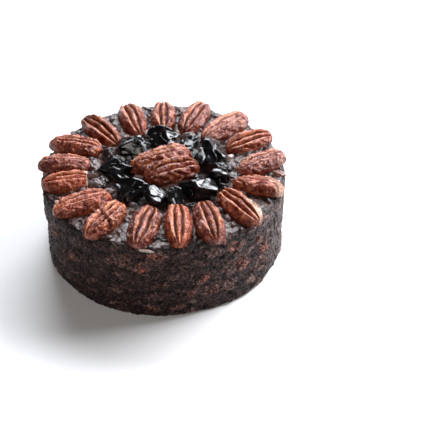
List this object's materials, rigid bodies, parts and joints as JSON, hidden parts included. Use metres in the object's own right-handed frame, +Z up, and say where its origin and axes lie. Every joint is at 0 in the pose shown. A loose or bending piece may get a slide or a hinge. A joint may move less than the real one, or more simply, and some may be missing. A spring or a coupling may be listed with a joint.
{
  "type": "chocolate fruit cake",
  "caption": "Small round chocolate fruit cake topped with a ring of pecan halves, dark prunes and a pecan centre.",
  "frame": {"origin": "middle of the round flat base", "axes": "+Z up out of the top of the cake, -Y towards the front, +X to the right as seen from the front"},
  "size_m": [0.1541, 0.1512, 0.0627],
  "materials": {
    "cake": "dark brown, moist and slightly sticky",
    "pecan": "reddish brown, thinly glazed",
    "prune": "black, glossy with syrup"
  },
  "bodies": {
    "root": {"cake": "cake", "pecan_01": "pecan", "pecan_02": "pecan", "pecan_03": "pecan", "pecan_04": "pecan", "pecan_05": "pecan", "pecan_06": "pecan", "pecan_07": "pecan", "pecan_08": "pecan", "pecan_09": "pecan", "pecan_10": "pecan", "pecan_11": "pecan", "pecan_12": "pecan", "pecan_13": "pecan", "pecan_14": "pecan", "pecan_15": "pecan", "pecan_16": "pecan", "pecan_17": "pecan", "pecan_centre_1": "pecan", "pecan_centre_2": "pecan", "prune_01": "prune", "prune_02": "prune", "prune_03": "prune", "prune_04": "prune", "prune_05": "prune", "prune_06": "prune", "prune_07": "prune", "prune_08": "prune", "prune_09": "prune", "prune_10": "prune", "prune_11": "prune", "prune_12": "prune"}
  },
  "joints": []
}
